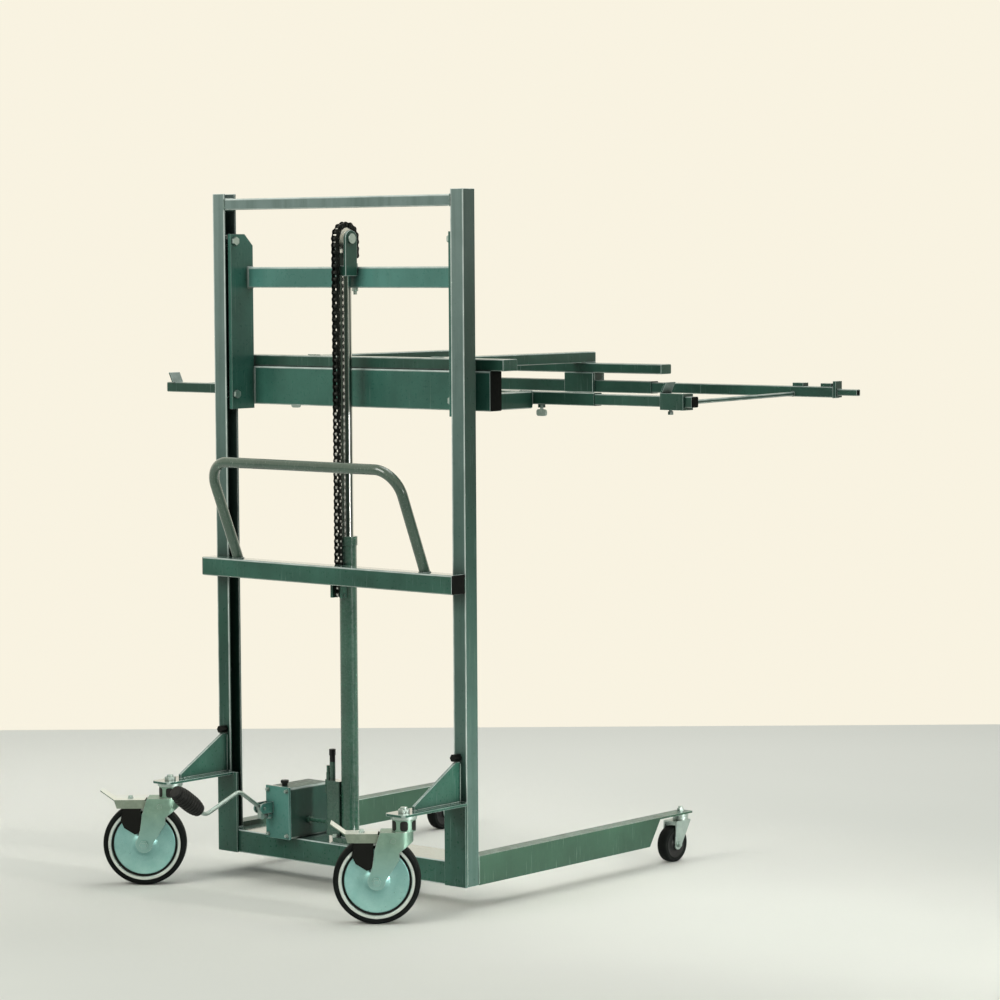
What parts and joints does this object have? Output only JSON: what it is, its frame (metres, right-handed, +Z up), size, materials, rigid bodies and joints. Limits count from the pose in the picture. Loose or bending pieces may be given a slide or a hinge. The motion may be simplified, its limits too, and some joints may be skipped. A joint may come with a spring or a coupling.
{
  "type": "hydraulic coffin lift truck",
  "caption": "Hydraulic coffin lift truck: tall channel mast on castored legs, foot pump, ram and roller chain raising a fork carriage with slide-out end stops.",
  "frame": {"origin": "on the floor under the middle of the mast, midway between the uprights", "axes": "+X across the truck to the right as seen from the handle, +Y forward along the legs, +Z up"},
  "size_m": [2.036, 1.2079, 1.661],
  "materials": {
    "green_enamel": "gloss enamel with light wear",
    "hard_chrome": "ground hard chrome",
    "zinc_steel": "bright zinc plate",
    "bare_steel": "oiled machined steel",
    "chain_steel": "greased dark steel",
    "black_rubber": "matt moulded rubber",
    "black_tyre": "worn solid rubber",
    "black_plastic": "moulded plastic"
  },
  "bodies": {
    "frame": {"left_upright": "green_enamel", "right_upright": "green_enamel", "top_rail": "green_enamel", "base_tray": "green_enamel", "left_leg": "green_enamel", "right_leg": "green_enamel", "left_caster_arm": "green_enamel", "right_caster_arm": "green_enamel", "handle_crossbar": "green_enamel", "push_handle": "green_enamel", "lift_cylinder": "green_enamel", "cylinder_gland": "bare_steel", "oil_tank": "green_enamel", "pump_block": "green_enamel", "filler_cap": "black_plastic", "oil_pipes": "green_enamel", "valve_body": "green_enamel", "chain_anchor": "green_enamel", "chain_anchor_run": "chain_steel", "swivel_heads": "zinc_steel", "frame_fasteners": "zinc_steel"},
    "ram": {"ram_rod": "hard_chrome", "ram_clevis": "green_enamel", "sprocket_pin": "zinc_steel", "chain_sprocket_wrap": "chain_steel"},
    "sprocket": {"chain_sprocket": "bare_steel"},
    "carriage": {"carriage_side_plates": "green_enamel", "carriage_upper_bar": "green_enamel", "carriage_lower_beam": "green_enamel", "platform_beams": "green_enamel", "fork_arms": "green_enamel", "slide_sleeves": "green_enamel", "sleeve_brackets": "green_enamel", "carriage_fasteners": "zinc_steel", "chain_carriage_run": "chain_steel"},
    "pump_lever": {"pump_lever": "zinc_steel", "pedal_grip": "black_rubber"},
    "pump_plunger": {"pump_plunger": "bare_steel"},
    "valve_knob": {"valve_knob": "black_plastic"},
    "left_upper_roller": {"left_upper_roller": "bare_steel"},
    "left_lower_roller": {"left_lower_roller": "bare_steel"},
    "left_slide_frame": {"left_slide_frame": "green_enamel"},
    "left_clamp_screw": {"left_clamp_screw": "zinc_steel"},
    "left_rear_caster": {"left_rear_fork": "zinc_steel"},
    "left_rear_wheel": {"left_rear_tyre": "black_tyre", "left_rear_wheel_disc": "zinc_steel"},
    "left_rear_brake": {"left_rear_brake_pedal": "zinc_steel"},
    "left_front_caster": {"left_front_fork": "zinc_steel"},
    "left_front_wheel": {"left_front_wheel": "black_rubber"},
    "right_upper_roller": {"right_upper_roller": "bare_steel"},
    "right_lower_roller": {"right_lower_roller": "bare_steel"},
    "right_slide_frame": {"right_slide_frame": "green_enamel"},
    "right_clamp_screw": {"right_clamp_screw": "zinc_steel"},
    "right_rear_caster": {"right_rear_fork": "zinc_steel"},
    "right_rear_wheel": {"right_rear_tyre": "black_tyre", "right_rear_wheel_disc": "zinc_steel"},
    "right_rear_brake": {"right_rear_brake_pedal": "zinc_steel"},
    "right_front_caster": {"right_front_fork": "zinc_steel"},
    "right_front_wheel": {"right_front_wheel": "black_rubber"}
  },
  "joints": [
    {"name": "ram_slide", "type": "slide", "parent": "frame", "child": "ram", "axis": [0, 0, 1], "range_m": [-0.41275, 0], "deforming": ["chain_anchor_run", "chain_sprocket_wrap", "chain_carriage_run"]},
    {"name": "carriage_slide", "type": "slide", "parent": "ram", "child": "carriage", "axis": [0, 0, 1], "range_m": [-0.41375, 0.001]},
    {"name": "sprocket_spin", "type": "hinge", "parent": "ram", "child": "sprocket", "pos_m": [0, 0.018, 1.55], "axis": [1, 0, 0], "range_deg": [-725, 5]},
    {"name": "pump_lever_press", "type": "hinge", "parent": "frame", "child": "pump_lever", "pos_m": [-0.203, -0.08, 0.185], "axis": [1, 0, 0], "range_deg": [0, 25], "stiffness_Nm_per_rad": 6, "springref_deg": -28.65},
    {"name": "pump_plunger_stroke", "type": "slide", "parent": "frame", "child": "pump_plunger", "axis": [0, 1, 0], "range_m": [-0.0005, 0.0098]},
    {"name": "valve_knob_turn", "type": "hinge", "parent": "frame", "child": "valve_knob", "pos_m": [-0.0571, 0.018, 0.31], "axis": [0, 0, 1], "range_deg": [0, 180]},
    {"name": "left_upper_roller_spin", "type": "hinge", "parent": "carriage", "child": "left_upper_roller", "pos_m": [-0.3878, 0, 1.547], "axis": [1, 0, 0], "range_deg": [-3040, 3040]},
    {"name": "left_lower_roller_spin", "type": "hinge", "parent": "carriage", "child": "left_lower_roller", "pos_m": [-0.3878, 0, 1.176], "axis": [1, 0, 0], "range_deg": [-3040, 3040]},
    {"name": "left_slide", "type": "slide", "parent": "carriage", "child": "left_slide_frame", "axis": [-1, 0, 0], "range_m": [-0.18, 0.1]},
    {"name": "left_clamp_screw_turn", "type": "hinge", "parent": "carriage", "child": "left_clamp_screw", "pos_m": [-0.4, 0.26, 1.15], "axis": [0, 0, 1], "range_deg": [0, 180]},
    {"name": "left_rear_swivel", "type": "hinge", "parent": "frame", "child": "left_rear_caster", "pos_m": [-0.38, -0.21, 0.235], "axis": [0, 0, 1], "continuous": true},
    {"name": "left_rear_wheel_spin", "type": "hinge", "parent": "left_rear_caster", "child": "left_rear_wheel", "pos_m": [-0.42714, -0.25027, 0.1], "axis": [-0.6494, 0.7604, 0], "continuous": true},
    {"name": "left_rear_brake_press", "type": "hinge", "parent": "left_rear_caster", "child": "left_rear_brake", "pos_m": [-0.39825, -0.22559, 0.192], "axis": [0.6494, -0.7604, 0], "range_deg": [0, 5]},
    {"name": "left_front_swivel", "type": "hinge", "parent": "frame", "child": "left_front_caster", "pos_m": [-0.384, 0.812, 0.105], "axis": [0, 0, 1], "continuous": true},
    {"name": "left_front_wheel_spin", "type": "hinge", "parent": "left_front_caster", "child": "left_front_wheel", "pos_m": [-0.384, 0.778, 0.045], "axis": [1, 0, 0], "continuous": true},
    {"name": "right_upper_roller_spin", "type": "hinge", "parent": "carriage", "child": "right_upper_roller", "pos_m": [0.3878, 0, 1.547], "axis": [1, 0, 0], "range_deg": [-3040, 3040]},
    {"name": "right_lower_roller_spin", "type": "hinge", "parent": "carriage", "child": "right_lower_roller", "pos_m": [0.3878, 0, 1.176], "axis": [1, 0, 0], "range_deg": [-3040, 3040]},
    {"name": "right_slide", "type": "slide", "parent": "carriage", "child": "right_slide_frame", "axis": [1, 0, 0], "range_m": [-0.18, 0.1]},
    {"name": "right_clamp_screw_turn", "type": "hinge", "parent": "carriage", "child": "right_clamp_screw", "pos_m": [0.4, 0.26, 1.15], "axis": [0, 0, 1], "range_deg": [0, 180]},
    {"name": "right_rear_swivel", "type": "hinge", "parent": "frame", "child": "right_rear_caster", "pos_m": [0.38, -0.21, 0.235], "axis": [0, 0, 1], "continuous": true},
    {"name": "right_rear_wheel_spin", "type": "hinge", "parent": "right_rear_caster", "child": "right_rear_wheel", "pos_m": [0.33286, -0.25027, 0.1], "axis": [-0.6494, 0.7604, 0], "continuous": true},
    {"name": "right_rear_brake_press", "type": "hinge", "parent": "right_rear_caster", "child": "right_rear_brake", "pos_m": [0.36175, -0.22559, 0.192], "axis": [0.6494, -0.7604, 0], "range_deg": [0, 5]},
    {"name": "right_front_swivel", "type": "hinge", "parent": "frame", "child": "right_front_caster", "pos_m": [0.384, 0.812, 0.105], "axis": [0, 0, 1], "continuous": true},
    {"name": "right_front_wheel_spin", "type": "hinge", "parent": "right_front_caster", "child": "right_front_wheel", "pos_m": [0.384, 0.778, 0.045], "axis": [1, 0, 0], "continuous": true}
  ],
  "couplings": [
    {"joint": "carriage_slide", "follows": "ram_slide", "ratio": 1},
    {"joint": "sprocket_spin", "follows": "ram_slide", "rad_per_m": 30.445},
    {"joint": "pump_plunger_stroke", "follows": "pump_lever_press", "m_per_rad": 0.0212},
    {"joint": "left_upper_roller_spin", "follows": "ram_slide", "rad_per_m": -128.21},
    {"joint": "left_lower_roller_spin", "follows": "ram_slide", "rad_per_m": 128.21},
    {"joint": "right_upper_roller_spin", "follows": "ram_slide", "rad_per_m": -128.21},
    {"joint": "right_lower_roller_spin", "follows": "ram_slide", "rad_per_m": 128.21}
  ]
}
